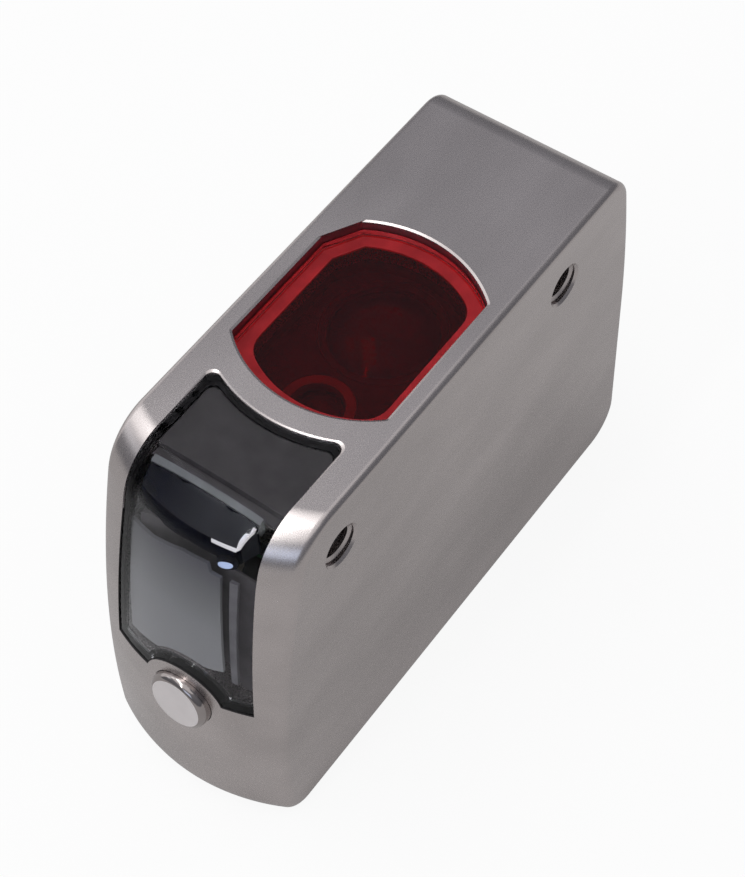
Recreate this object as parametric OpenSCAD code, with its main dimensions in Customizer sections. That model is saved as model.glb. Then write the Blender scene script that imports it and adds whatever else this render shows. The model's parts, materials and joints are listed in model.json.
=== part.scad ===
// Slim laser photoelectric sensor lying on its back, with the lens face up.
// X runs across the two mounting sides, Y from the display end to the cable end.

/* [Body] */
// Width across the two mounting sides
body_w = 15.4; // [15:0.1:20]
// Length from the crown of the display end to the cable end
body_len = 44; // [42:0.5:60]
// Height from the back to the lens face
body_h = 30; // [29:0.5:40]
// Radius of the bowed display end, seen from above
bow_r = 15.5; // [12:0.5:30]
// Distance that the display end leans back below its upper corner
lean_depth = 3.33; // [2.6:0.01:3.8]
// Height at which the display end starts to lean back
lean_z = 3; // [2.6:0.1:6]
// Corner between the lens face and the display end
brow_r = 4.2; // [3.4:0.1:5]
// Corner between the back and the display end
foot_r = 2; // [1.4:0.1:2.4]
// Corner between the lens face and the cable end
heel_r = 2.5; // [1.8:0.1:4]
// Corner between the back and the cable end
toe_r = 3; // [1.8:0.1:4]
// Distance that the cable end leans forward below its upper corner
tail_depth = 0.8; // [0.4:0.05:1.2]
// Height at which the cable end starts to lean forward
tail_z = 15; // [14:0.5:17]
// Rounding of the long edges
edge_r = 0.5; // [0.4:0.05:0.9]

/* [Walls] */
// Wall of the two mounting sides
side_wall = 1.2; // [0.9:0.05:1.3]
// Wall of the display end and the cable end
end_wall = 1.2; // [1:0.05:1.6]
// Wall of the lens face
front_wall = 2; // [1.8:0.05:2.4]
// Wall of the back around the rear cover
back_wall = 2.2; // [2:0.05:2.6]
// Thickness of the rear cover
cover_t = 1.2; // [0.8:0.05:1.4]
// Lip that the rear cover sits on
cover_lip = 0.7; // [0.5:0.05:0.9]
// Margin from the side of the body to the rear cover
cover_margin = 1.4; // [1.2:0.05:1.8]
// Corner radius of the rear cover
cover_corner_r = 1.5; // [1.2:0.1:2]

/* [Mounting holes] */
// Distance between the two mounting holes
hole_pitch = 25.4; // [25:0.1:27]
// Distance from the crown of the display end to the first hole
hole_from_end = 9.85; // [9.6:0.05:10.4]
// Distance from the lens face to the hole axes
hole_drop = 4.3; // [4.2:0.05:5]
// Core diameter of the M3 thread
tap_d = 2.5; // [2.3:0.05:3]
// Diameter of the countersink at the mouth of each hole
mouth_d = 3.3; // [3.1:0.05:3.6]
// Outer diameter of the cross tube around each hole
tube_d = 4.8; // [4.2:0.1:5]

/* [Lens window] */
// Width of the lens opening
lens_w = 12.4; // [11.6:0.1:12.6]
// Length of the lens opening from crown to crown
lens_len = 15.9; // [15:0.1:16.4]
// Radius of the bowed ends of the lens opening
lens_arc_r = 9.3; // [8.6:0.1:11]
// Place along its left side where the lens opening's cut corner starts, from its middle
lens_cut = 4.1; // [3.8:0.1:5]
// Angle between the cut corner and the width of the body
lens_cut_angle = 60; // [50:1:75]
// Depth of the window's face below the lens face
lens_recess = 0.7; // [0.3:0.05:0.8]
// Thickness of the red window
lens_window_t = 1.2; // [0.8:0.05:1.3]
// Thickness of the bonding seal under the red window
lens_seal_t = 0.15; // [0.1:0.01:0.25]
// Width of the ledge that the red window sits on
lens_ledge = 0.8; // [0.6:0.05:1]
// Thickness of that ledge
lens_ledge_t = 1.2; // [0.8:0.05:1.4]
// Wall of the collar below the lens face
lens_collar = 0.6; // [0.4:0.05:0.7]

/* [Display window] */
// Width of the display window on the lens face
display_w = 10.7; // [10.2:0.1:11]
// Width of the display window at its lower end
display_foot_w = 11.6; // [11:0.1:11.8]
// Height of the lower edge of the display window
display_z = 13.4; // [13:0.1:14]
// Metal band between the display window and the lens opening
band_w = 1.85; // [1.6:0.05:2.4]
// Rounding of the upper corners of the display window
display_corner_r = 0.6; // [0.3:0.05:0.8]
// Depth of the display window below the body's surface
display_recess = 0.1; // [0.05:0.01:0.2]
// Thickness of the display window
display_window_t = 0.8; // [0.6:0.05:0.9]
// Thickness of the bonding seal under the display window
display_seal_t = 0.1; // [0.08:0.01:0.2]
// Width of the ledge that the display window sits on
display_ledge = 0.6; // [0.4:0.05:0.7]

/* [Set button] */
// Sideways place of the button
button_x = 0.5; // [0.2:0.1:0.8]
// Height of the button's axis where it leaves the body
button_z = 12.4; // [12:0.1:12.8]
// Diameter of the button where it leaves the body
button_d = 4.66; // [4.2:0.02:4.8]
// Diameter of the button's flat face
button_face_d = 3.64; // [3:0.02:4]
// Height of the button's face above the body's surface
button_proud = 0.7; // [0.5:0.05:1]
// Travel of the button when pressed
button_travel = 0.3; // [0.2:0.05:0.35]
// Radius of the metal rim between the button and the display window
button_rim_r = 3.22; // [3:0.02:3.4]
// Diameter of the flange that keeps the button in
button_flange_d = 5.8; // [5.4:0.1:6.2]
// Thickness of that flange
button_flange_t = 0.6; // [0.4:0.05:0.7]
// Wall of the boss that keeps the flange from coming out
button_boss_wall = 0.6; // [0.5:0.05:0.8]
// Diameter of the button's stem
button_stem_d = 1.8; // [1.4:0.1:2]
// Length of the button's stem below its flange
button_stem_len = 0.4; // [0.3:0.05:0.8]
// Cross section of the button's sealing ring
ring_section = 0.66; // [0.5:0.02:0.7]
// Backward tilt of the button, the display and its board
face_lean = 9; // [7:0.5:10]

/* [Display] */
// Width of the display's diffuser
diffuser_w = 8.5; // [8:0.1:8.7]
// Height of the lower edge of the diffuser above the button's axis
diffuser_low = 4.1; // [3.9:0.1:4.4]
// Gap between the diffuser and the light guide above it
guide_gap = 1; // [0.6:0.05:1.2]
// Depth of the diffuser's flat back below the button's surface point
diffuser_back = 2.7; // [2.5:0.1:3]
// Thickness of the display board
display_board_t = 0.8; // [0.6:0.1:1]
// Gap between the display board and the side walls
display_board_gap = 0.8; // [0.5:0.05:1.2]
// Height of the board's lower edge below the button's axis
display_board_low = 3.2; // [2.8:0.1:3.6]
// Height of the board's upper edge below the diffuser's
board_below_diffuser = 2.2; // [2:0.1:2.6]
// Height of the display module's upper edge below the diffuser's
module_below_diffuser = 1.3; // [1.2:0.1:1.6]
// Height of the tact switch above its board
switch_t = 0.9; // [0.7:0.05:1]
// Side of the square tact switch
switch_w = 4.2; // [3.6:0.1:4.6]
// Diameter of the switch's plunger
plunger_d = 1.6; // [1.2:0.1:1.8]
// Distance from the cable side of the light guide to the first hole
guide_from_hole = 3; // [2.8:0.05:3.2]
// Height of the light guide below the lens face
guide_h = 4; // [3.8:0.05:4.1]
// Side of one indicator lamp
lamp_w = 1; // [0.8:0.1:1.2]
// Height of one indicator lamp
lamp_h = 0.7; // [0.5:0.05:0.8]
// Distance between the two indicator lamps
lamp_pitch = 4; // [3:0.1:5]
// Wall of the shroud around the display
shroud_wall = 0.4; // [0.3:0.05:0.45]

/* [Optics] */
// Distance from the middle of the lens opening to the laser's axis
emitter_off = 5.1; // [5:0.05:5.3]
// Outer diameter of the laser sleeve
sleeve_d = 5.2; // [4.8:0.1:5.3]
// Diameter of the laser's collimating lens
emitter_lens_d = 3.8; // [3.2:0.1:4]
// Diameter of the laser diode's can
diode_d = 3.8; // [3.2:0.1:4]
// Height of the can above the diode's base
can_h = 2; // [1.6:0.1:2.6]
// Distance from the diode's axis to its pins
pin_off = 0.8; // [0.6:0.05:0.9]
// Distance from the middle of the lens opening to the receiver's axis
receiver_off = 2.4; // [2.3:0.05:2.6]
// Diameter of the receiver lens
receiver_d = 8.8; // [8:0.1:9]
// Rim thickness of the receiver lens
receiver_rim_t = 1.2; // [0.8:0.1:1.5]
// Height of the receiver lens's crown above its rim
receiver_crown = 1.2; // [0.8:0.1:1.4]
// Wall of the retainer that holds the receiver lens
retainer_wall = 0.5; // [0.4:0.05:0.7]
// Thickness of that retainer
retainer_t = 0.5; // [0.4:0.05:0.7]
// Length of the laser sleeve
sleeve_len = 12; // [10:0.5:13]
// Depth of the well between the red window's ledge and the lenses
well_depth = 1.4; // [1:0.1:1.8]
// Height of the optical frame above the back
frame_z = 9; // [8.6:0.1:10]
// Length of the image sensor
imager_l = 5; // [4:0.1:6]
// Side of the square imager board
imager_board_w = 9; // [8.4:0.1:9.6]
// Width of the image sensor
imager_w = 3.4; // [3:0.1:4]
// Thickness of the image sensor
imager_t = 0.9; // [0.7:0.05:1.2]

/* [Boards and screws] */
// Height of the main board above the back
board_z = 4.2; // [4:0.1:4.6]
// Thickness of the main board and the imager board
board_t = 0.8; // [0.6:0.1:1]
// Gap between the main board and the side walls
board_gap = 1.2; // [1:0.05:1.6]
// Outer diameter of the small screws
screw_d = 1.6; // [1.2:0.1:1.8]
// Head diameter of the small screws
screw_head_d = 2.6; // [2.2:0.1:2.8]
// Head height of the small screws
screw_head_t = 0.8; // [0.6:0.1:1]
// Length of the small screws below the head
screw_len = 3; // [2.6:0.1:3.4]
// Outer diameter of the bosses that take the small screws
boss_d = 2.6; // [2.4:0.1:2.8]
// Thickness of the flat cable
ribbon_t = 0.2; // [0.15:0.01:0.3]
// Width of the flat cable
ribbon_w = 6; // [4:0.1:7]

/* [Cable gland] */
// Height of the gland's axis above the back
gland_z = 9; // [8.4:0.1:10]
// Wall of the gland's shank around the rubber sleeve
gland_wall = 0.45; // [0.4:0.05:0.6]
// Width of the shoulder between the gland's shank and the edge of its collar
gland_shoulder = 1; // [0.8:0.05:1.1]
// Thickness of the gland's collar
gland_collar_t = 1.4; // [1:0.1:2]
// Length of the gland's nose beyond its collar
gland_nose_len = 1.8; // [1.2:0.1:2.4]
// Wall of the gland's nose at its tip
gland_nose_wall = 0.55; // [0.4:0.05:0.8]
// Diameter of the hole for the cable
cable_d = 4; // [3.4:0.1:4.2]
// Wall of the rubber sleeve around the cable
sleeve_wall = 0.5; // [0.4:0.05:0.6]
// Smallest wall of the gland's nut, at its flats
nut_wall = 1; // [0.8:0.05:1.3]
// Thickness of the gland's nut
nut_t = 1.8; // [1.4:0.1:2.2]
// Thickness of the washer under the gland's collar
washer_t = 0.3; // [0.2:0.05:0.5]

/* [Clearances] */
// Gap between a seated piece and its pocket
seat_gap = 0.05; // [0.03:0.01:0.1]
// Gap between inner pieces that don't touch
free_gap = 0.3; // [0.2:0.05:0.4]
// Gap around the moving button
slide_gap = 0.04; // [0.02:0.01:0.05]

/* [Hidden] */
$fn = 48;
fine_fn = 96;
// Reach of a cut beyond the surface that it opens
cut = 1;
// Depth by which forms of one piece run into each other
bury = 0.5;

// Radius of an arc that starts upright, leans by a depth over a rise, and meets a corner
function lean_radius(rise, depth, corner_r) =
    (pow(rise, 2) + pow(depth, 2)) / (2 * depth) + corner_r;

half_w = body_w / 2;
lean_r = lean_radius(body_h - brow_r - lean_z, lean_depth, brow_r);
tail_r = lean_radius(body_h - heel_r - tail_z, tail_depth, heel_r);
room_w = body_w - 2 * side_wall;
room_half = room_w / 2;

function bow(x) = bow_r - sqrt(pow(bow_r, 2) - pow(x, 2));
function lean(z) = lean_r - sqrt(pow(lean_r, 2) - pow(max(z - lean_z, 0), 2));

gland_proud = washer_t + gland_collar_t + gland_nose_len;
// Diameters of the cable gland, worked out from the cable
gland_bore_d = cable_d + 2 * sleeve_wall + 2 * seat_gap;
gland_shank_d = gland_bore_d + 2 * gland_wall;
gland_collar_d = gland_shank_d + 2 * gland_shoulder;
gland_nose_d = gland_bore_d + 2 * gland_nose_wall;
nut_af = gland_shank_d + 2 * nut_wall;

// How far the tilted button reaches out past the crown of the display end
button_lead = max(0, button_proud * cos(face_lean) + button_face_d / 2 * sin(face_lean)
    - bow(button_x) - lean(button_z));
y_end = -(body_len + gland_proud - button_lead) / 2;
y_tail = y_end + body_len;
y_hole = y_end + hole_from_end;
y_hole_2 = y_hole + hole_pitch;
z_hole = body_h - hole_drop;
y_lens = y_hole + hole_pitch / 2;

// Angles and centres where the leaning ends run into the corners of the lens face
lean_top = asin((body_h - brow_r - lean_z) / (lean_r - brow_r));
y_brow = y_end + lean_r - (lean_r - brow_r) * cos(lean_top);
tail_top = asin((body_h - heel_r - tail_z) / (tail_r - heel_r));
y_heel = y_tail - tail_r + (tail_r - heel_r) * cos(tail_top);

function arc(cy, cz, r, a, b, n, first = 0) =
    [for (i = [first : n]) [cy + r * cos(a + (b - a) * i / n), cz + r * sin(a + (b - a) * i / n)]];

// Straight steps in each arc of the side view
corner_steps = 5;
brow_steps = 7;
lean_steps = 4;

// Side view of the body, inset all round, with its display end set back
function outline(inset, set_back) = concat(
    arc(y_end + foot_r + set_back, foot_r, foot_r - inset, 270, 180, corner_steps),
    arc(y_end + lean_r + set_back, lean_z, lean_r - inset, 180, 180 - lean_top, lean_steps),
    arc(y_brow + set_back, body_h - brow_r, brow_r - inset, 180 - lean_top, 90, brow_steps, 1),
    arc(y_heel, body_h - heel_r, heel_r - inset, 90, tail_top, corner_steps),
    arc(y_tail - tail_r, tail_z, tail_r - inset, tail_top, 0, lean_steps, 1),
    arc(y_tail - toe_r, toe_r, toe_r - inset, 0, -90, corner_steps));

// Places across the body: the bowed end in even steps, then the rounded long edges
bow_steps = 6;
edge_steps = 3;
function round_r(inset) = max(edge_r - inset, 0.1);
function flat_half(inset) = half_w - inset - round_r(inset);
function edge_places(inset) = [for (i = [1 : edge_steps]) let (a = 90 * i / edge_steps)
    [flat_half(inset) + round_r(inset) * sin(a), round_r(inset) * (1 - cos(a))]];
function places(inset) = concat(
    [for (i = [edge_steps - 1 : -1 : 0]) [-edge_places(inset)[i][0], edge_places(inset)[i][1]]],
    [for (i = [-bow_steps : bow_steps]) [flat_half(inset) * i / bow_steps, 0]],
    edge_places(inset));
function end_back(x, inset) = bow_r - sqrt(pow(bow_r - inset, 2) - pow(x, 2)) - inset;

// The body's form, lofted from side views along X and inset all round
module form(inset) {
    rows = places(inset);
    rings = [for (row = rows) outline(inset + row[1], end_back(row[0], inset))];
    n = len(rings[0]);
    k = len(rows);
    points = [for (i = [0 : k - 1]) for (p = rings[i]) [rows[i][0], p[0], p[1]]];
    sides = [for (i = [0 : k - 2]) for (j = [0 : n - 1])
        [i * n + j, i * n + (j + 1) % n, (i + 1) * n + (j + 1) % n, (i + 1) * n + j]];
    caps = [[for (j = [n - 1 : -1 : 0]) j], [for (j = [0 : n - 1]) (k - 1) * n + j]];
    polyhedron(points, concat(caps, sides));
}

// Extrudes a side view drawn in Y and Z to both sides of the middle plane
module across(width) {
    translate([-width / 2, 0, 0]) rotate([90, 0, 90]) linear_extrude(width) children();
}

// Extrudes a view drawn in X and Z from one Y place to another
module along(y_from, y_to) {
    translate([0, y_to, 0]) rotate([90, 0, 0]) linear_extrude(y_to - y_from) children();
}

// A block centred on X between two Y and two Z places
module block(width, y_from, y_to, z_from, z_to) {
    translate([-width / 2, y_from, z_from]) cube([width, y_to - y_from, z_to - z_from]);
}

// Lens opening seen from above: straight sides, bowed ends and one cut corner
module lens_outline(grow) {
    reach = lens_len / 2 - lens_arc_r;
    translate([0, y_lens]) difference() {
        intersection() {
            square([lens_w + 2 * grow, lens_len + 2 * grow], center = true);
            translate([0, reach]) circle(lens_arc_r + grow, $fn = fine_fn);
            translate([0, -reach]) circle(lens_arc_r + grow, $fn = fine_fn);
        }
        translate([-lens_w / 2, lens_cut]) rotate(lens_cut_angle)
            translate([-lens_len / 2, grow]) square(lens_len);
    }
}

band_y = y_lens - lens_len / 2 + lens_arc_r;
band_r = lens_arc_r + band_w;
y_inner = y_hole - tube_d / 2 - free_gap;

module rounded(r) {
    offset(r = r) offset(delta = -r) children();
}

// Display window outline on the lens face
module display_top(grow) {
    rounded(display_corner_r) difference() {
        translate([-display_w / 2 - grow, y_end - 2 * cut])
            square([display_w + 2 * grow, band_y - y_end + 2 * cut]);
        translate([0, band_y]) circle(band_r - grow, $fn = fine_fn);
    }
}

// Display window outline on the display end, with the rim around the button cut out
module display_front(grow) {
    half_top = display_w / 2 + grow;
    half_foot = display_foot_w / 2 + grow;
    z_side = body_h - brow_r;
    difference() {
        polygon([
            [-half_foot, display_z - grow], [-half_top, z_side], [-half_top, body_h + cut],
            [half_top, body_h + cut], [half_top, z_side], [half_foot, display_z - grow]
        ]);
        translate([button_x, button_z]) circle(button_rim_r - grow);
    }
}

// Space that the display window takes, cut from above and from the display end
module display_cut(grow, z_from, y_to) {
    translate([0, 0, z_from]) linear_extrude(body_h - z_from + cut) display_top(grow);
    along(y_end - 2 * cut, y_to) display_front(grow);
}

display_floor = display_recess + display_window_t + display_seal_t;
z_brow_low = body_h - brow_r;

// Frames on the tilted plane through the button: upright, and with +Z going in
y_face = y_end + bow(button_x) + lean(button_z);
module at_face() {
    translate([0, y_face, button_z]) rotate([-face_lean, 0, 0]) children();
}
module at_button() {
    at_face() translate([button_x, 0, 0]) rotate([-90, 0, 0]) children();
}

// Depths behind the button's surface point, from its boss to the display board
end_back_room = bow(room_half);
boss_end = end_back_room + end_wall + free_gap;
flange_top = boss_end + slide_gap;
stem_end = flange_top + button_flange_t + button_stem_len;
switch_front = stem_end + button_travel;
board_front = switch_front + switch_t;
button_bore_d = button_d + 2 * slide_gap;
button_boss_d = button_flange_d + 2 * button_boss_wall;

// Heights below the lens face, and the ears that the optical frame hangs from
z_collar = body_h - lens_recess - lens_window_t - lens_seal_t - lens_ledge_t;
z_room = body_h - front_wall;
frame_room = hole_pitch - tube_d - 2 * free_gap;
ear_t = screw_len / 2;
z_ear = z_collar - ear_t;
screw_hole_d = screw_d + 2 * seat_gap;
ear_side_gap = 0.1;
ear_overhang = 0.2;
ear_x = room_half - boss_d / 2 - ear_side_gap;
ear_y = frame_room / 2 - boss_d / 2 + ear_overhang;

// Rear cover, inside the round corners of the back
cover_w = body_w - 2 * cover_margin;
y_cover = y_end + foot_r + bow(cover_w / 2) + cover_lip;
y_cover_2 = y_tail - toe_r - cover_lip;
y_room_2 = y_tail - end_wall;

// Plan of the rear cover, with round corners
module cover_outline(grow) {
    w = cover_w + 2 * grow;
    y1 = y_cover - grow;
    y2 = y_cover_2 + grow;
    r = cover_corner_r + grow;
    translate([-w / 2 + r, y1]) square([w - 2 * r, y2 - y1]);
    translate([-w / 2, y1 + r]) square([w, y2 - y1 - 2 * r]);
    for (x = [-w / 2 + r, w / 2 - r], y = [y1 + r, y2 - r]) translate([x, y]) circle(r);
}

// Legs that carry the main board, and ears that carry the frame
leg_off = frame_room / 2 - boss_d / 2 - free_gap;
module at_legs() {
    for (side = [-1, 1]) translate([0, y_lens + side * leg_off, 0]) children();
}

module at_ears() {
    for (sx = [-1, 1], sy = [-1, 1])
        translate([sx * ear_x, y_lens + sy * ear_y, 0]) children();
}

// Display parts, above the button's axis and behind its surface point
diffuser_high = (body_h - guide_h - button_z) / cos(face_lean) - guide_gap;
display_board_w = room_w - 2 * display_board_gap;
display_board_high = diffuser_high - board_below_diffuser;
module_high = diffuser_high - module_below_diffuser;
lamp_y = diffuser_back + free_gap;

// Optics, hung below the red window
z_well = z_collar - well_depth;
y_receiver = y_lens + receiver_off;
z_receiver = z_well - retainer_t - receiver_rim_t;
y_emitter = y_lens - emitter_off;
sleeve_step = 0.4;
emitter_rim_t = 0.8;
emitter_sink = 0.7;
z_emitter_lens = z_well - emitter_rim_t - emitter_sink;
z_sleeve = z_well - sleeve_len;
diode_base_t = 0.8;
pin_d = 0.35;
pin_len = 2.6;

// Main board, its reach past the mounting holes, its chips and its flat cable
board_w = room_w - 2 * board_gap;
board_lead = 3.5;
board_tail = 3.2;
chip_w = 4.2;
chip_t = 1.1;
small_chip_w = 1.4;
chip_off = 3.4;
ribbon_bend_r = 1.5;
ribbon_lap = 1.6;

module hole_axes() {
    for (y = [y_hole, y_hole_2])
        translate([0, y, z_hole]) rotate([0, 90, 0]) children();
}

// Hollow inside of the body
module room() {
    intersection() {
        across(room_w) polygon(outline(end_wall, end_back_room));
        block(body_w, y_end, y_tail, back_wall, z_room);
    }
}

module mounting_hole() {
    cone = (mouth_d - tap_d) / 2;
    cylinder(d = tap_d, h = body_w + 2 * cut, center = true);
    for (side = [-1, 1])
        translate([0, 0, side * (half_w - cone / 2 + cut / 2)])
            cylinder(d1 = side < 0 ? mouth_d + 2 * cut : tap_d,
                d2 = side < 0 ? tap_d : mouth_d + 2 * cut, h = cone + cut, center = true);
}

module housing() {
    color([0.66, 0.64, 0.62]) difference() {
        union() {
            difference() {
                form(0);
                room();
            }
            intersection() {
                across(room_w + side_wall) polygon(outline(end_wall / 2, end_back_room));
                union() {
                    hole_axes() cylinder(d = tube_d, h = room_w + side_wall, center = true);
                    translate([0, 0, z_collar]) linear_extrude(z_room - z_collar + bury)
                        lens_outline(lens_collar);
                    at_ears() translate([0, 0, z_ear])
                        cylinder(d = boss_d, h = z_room - z_ear + bury);
                    at_button() translate([0, 0, end_wall])
                        cylinder(d = button_boss_d, h = boss_end - end_wall);
                }
            }
        }
        hole_axes() mounting_hole();
        translate([0, 0, body_h - lens_recess - lens_window_t - lens_seal_t])
            linear_extrude(lens_recess + lens_window_t + lens_seal_t + cut) lens_outline(0);
        translate([0, 0, z_collar - cut]) linear_extrude(body_h) lens_outline(-lens_ledge);
        difference() {
            display_cut(0, z_brow_low, y_inner);
            form(display_floor);
        }
        display_cut(-display_ledge, z_room - seat_gap, y_inner);
        at_button() cylinder(d = button_bore_d, h = 2 * (boss_end + cut), center = true);
        at_ears() translate([0, 0, z_ear - cut])
            cylinder(d = screw_hole_d, h = screw_len - ear_t + 2 * cut);
        translate([0, 0, -cut]) linear_extrude(cover_t + cut) cover_outline(0);
        translate([0, 0, -cut]) linear_extrude(back_wall + 2 * cut) cover_outline(-cover_lip);
        translate([0, y_tail, gland_z]) rotate([90, 0, 0])
            cylinder(d = gland_shank_d + 2 * seat_gap, h = 2 * (end_wall + cut), center = true);
    }
}

module rear_cover() {
    color([0.6, 0.6, 0.6]) linear_extrude(cover_t) cover_outline(-seat_gap);
}

z_window = body_h - lens_recess - lens_window_t;

module lens_window() {
    color([0.6, 0.05, 0.07, 0.6]) translate([0, 0, z_window])
        linear_extrude(lens_window_t) lens_outline(-seat_gap);
}

module lens_seal() {
    color([0.25, 0.05, 0.05]) translate([0, 0, z_window - lens_seal_t])
        linear_extrude(lens_seal_t) difference() {
            lens_outline(-seat_gap);
            lens_outline(-lens_ledge);
        }
}

module display_window() {
    color([0.16, 0.16, 0.18, 0.6]) intersection() {
        difference() {
            form(display_recess);
            form(display_recess + display_window_t);
        }
        display_cut(-seat_gap, z_brow_low, y_inner);
    }
}

module display_seal() {
    color([0.05, 0.05, 0.06]) intersection() {
        difference() {
            form(display_recess + display_window_t);
            form(display_floor);
        }
        difference() {
            display_cut(-seat_gap, z_brow_low, y_inner);
            display_cut(-display_ledge, z_brow_low - cut, y_inner + cut);
        }
    }
}

groove_r = button_bore_d / 2 - ring_section - slide_gap;
groove_z = end_wall;
groove_w = ring_section + 2 * seat_gap;

module set_button() {
    r = button_d / 2;
    flange_r = button_flange_d / 2;
    stem_r = button_stem_d / 2;
    color([0.75, 0.72, 0.7]) at_button() rotate_extrude() polygon([
        [0, -button_proud], [button_face_d / 2, -button_proud], [r, 0],
        [r, groove_z], [groove_r, groove_z], [groove_r, groove_z + groove_w], [r, groove_z + groove_w],
        [r, flange_top], [flange_r, flange_top], [flange_r, flange_top + button_flange_t],
        [stem_r, flange_top + button_flange_t], [stem_r, stem_end], [0, stem_end]
    ]);
}

module button_ring() {
    color([0.08, 0.08, 0.08]) at_button() translate([0, 0, groove_z + groove_w / 2])
        rotate_extrude() translate([groove_r + slide_gap / 2 + ring_section / 2, 0])
            circle(d = ring_section);
}

plunger_in = (switch_t - button_travel) / 3;

module switch_plunger() {
    color([0.85, 0.8, 0.7]) at_button() translate([0, 0, stem_end])
        cylinder(d = plunger_d, h = switch_front - stem_end + plunger_in);
}

module tact_switch() {
    color([0.2, 0.2, 0.2]) difference() {
        at_face() translate([button_x, 0, 0])
            block(switch_w, switch_front, board_front, -switch_w / 2, switch_w / 2);
        at_button() translate([0, 0, switch_front - cut])
            cylinder(d = plunger_d + 2 * slide_gap, h = cut + 2 * plunger_in + button_travel);
    }
}

module display_board() {
    color([0.1, 0.35, 0.15]) at_face() block(display_board_w, board_front,
        board_front + display_board_t, -display_board_low, display_board_high);
}

inner_skin = display_floor + seat_gap;
module rim_clearance() {
    along(y_end - cut, y_inner) translate([button_x, button_z])
        circle(button_rim_r + display_ledge + seat_gap);
}

module display_diffuser() {
    color([0.5, 0.53, 0.53]) difference() {
        intersection() {
            form(inner_skin);
            at_face() block(diffuser_w, -body_h, diffuser_back, diffuser_low, diffuser_high);
        }
        rim_clearance();
    }
}

module segment_display() {
    color([0.12, 0.12, 0.13]) difference() {
        at_face() block(diffuser_w, diffuser_back, board_front, diffuser_low, module_high);
        rim_clearance();
    }
}

module at_lamps() {
    for (side = [-1, 1]) at_face() translate([side * lamp_pitch / 2, 0, 0]) children();
}

module indicator_lamps() {
    color([0.9, 0.85, 0.6]) at_lamps()
        block(lamp_w, lamp_y, lamp_y + lamp_w, module_high, module_high + lamp_h);
}

module light_guide() {
    color([0.3, 0.35, 0.45, 0.7]) union() {
        intersection() {
            form(inner_skin);
            block(diffuser_w, y_end, y_hole - guide_from_hole, body_h - guide_h, body_h);
        }
        intersection() {
            at_lamps() block(lamp_w, lamp_y, lamp_y + lamp_w, module_high + lamp_h + seat_gap, body_h);
            block(body_w, y_end, y_hole - guide_from_hole, 0, body_h - guide_h + display_ledge);
        }
    }
}

module display_shroud() {
    outer_w = display_w - 2 * display_ledge - 2 * seat_gap;
    inner_w = outer_w - 2 * shroud_wall;
    z_plate = max(z_room, z_hole + tube_d / 2) + seat_gap;
    color([0.07, 0.07, 0.08]) intersection() {
        form(inner_skin);
        union() {
            difference() {
                intersection() {
                    at_face() block(outer_w, -body_h, board_front, 0, body_h);
                    block(outer_w, y_end, y_inner, display_z + display_ledge + seat_gap, body_h);
                }
                block(inner_w, y_end - cut, y_inner + cut, 0, body_h + cut);
            }
            intersection() {
                block(outer_w, y_hole - guide_from_hole + seat_gap, band_y, z_plate, body_h);
                linear_extrude(body_h) display_top(-display_ledge - seat_gap);
            }
        }
    }
}

module optical_frame() {
    frame_w = room_w - free_gap;
    y1 = y_lens - frame_room / 2;
    y2 = y_lens + frame_room / 2;
    color([0.09, 0.09, 0.1]) difference() {
        union() {
            block(frame_w, y1, y2, frame_z, z_ear - seat_gap);
            intersection() {
                translate([0, 0, frame_z]) linear_extrude(z_collar - seat_gap - frame_z)
                    lens_outline(lens_collar);
                block(frame_w, y1, y2, frame_z, body_h);
            }
            at_legs() translate([0, 0, board_z + board_t])
                cylinder(d = boss_d, h = frame_z - board_z);
        }
        translate([0, 0, z_well]) linear_extrude(body_h) lens_outline(-lens_ledge);
        translate([0, y_receiver, z_receiver]) cylinder(d = receiver_d + 2 * seat_gap, h = body_h);
        translate([0, y_receiver, frame_z - cut])
            cylinder(d = receiver_d - 2 * retainer_wall, h = body_h - frame_z);
        translate([0, y_emitter, frame_z - cut]) cylinder(d = sleeve_d + 2 * seat_gap, h = body_h);
        at_ears() translate([0, 0, frame_z - cut]) cylinder(d = screw_hole_d, h = body_h);
        at_ears() translate([0, 0, frame_z - cut])
            cylinder(d = screw_head_d + free_gap, h = z_ear - ear_t - frame_z + cut);
        at_legs() translate([0, 0, board_z]) cylinder(d = screw_hole_d, h = screw_len + free_gap);
    }
}

module receiver_lens() {
    dome_r = receiver_d / 2 - retainer_wall - seat_gap;
    ball_r = (pow(dome_r, 2) + pow(receiver_crown, 2)) / (2 * receiver_crown);
    color([0.8, 0.85, 0.9, 0.5]) translate([0, y_receiver, z_receiver]) {
        cylinder(d = receiver_d, h = receiver_rim_t);
        intersection() {
            cylinder(r = dome_r, h = receiver_rim_t + receiver_crown);
            translate([0, 0, receiver_rim_t + receiver_crown - ball_r]) sphere(ball_r, $fn = fine_fn);
        }
    }
}

module lens_retainer() {
    color([0.06, 0.06, 0.06]) translate([0, y_receiver, z_receiver + receiver_rim_t]) difference() {
        cylinder(d = receiver_d, h = retainer_t);
        translate([0, 0, -cut]) cylinder(d = receiver_d - 2 * retainer_wall, h = retainer_t + 2 * cut);
    }
}

module emitter_lens() {
    r = emitter_lens_d / 2;
    aperture_r = r - sleeve_step;
    crown = aperture_r / 3;
    ball_r = (pow(aperture_r, 2) + pow(crown, 2)) / (2 * crown);
    color([0.8, 0.85, 0.9, 0.5]) translate([0, y_emitter, z_emitter_lens]) {
        cylinder(r = r, h = emitter_rim_t);
        intersection() {
            cylinder(r = aperture_r, h = emitter_rim_t + crown);
            translate([0, 0, emitter_rim_t + crown - ball_r]) sphere(ball_r, $fn = fine_fn);
        }
    }
}

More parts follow.
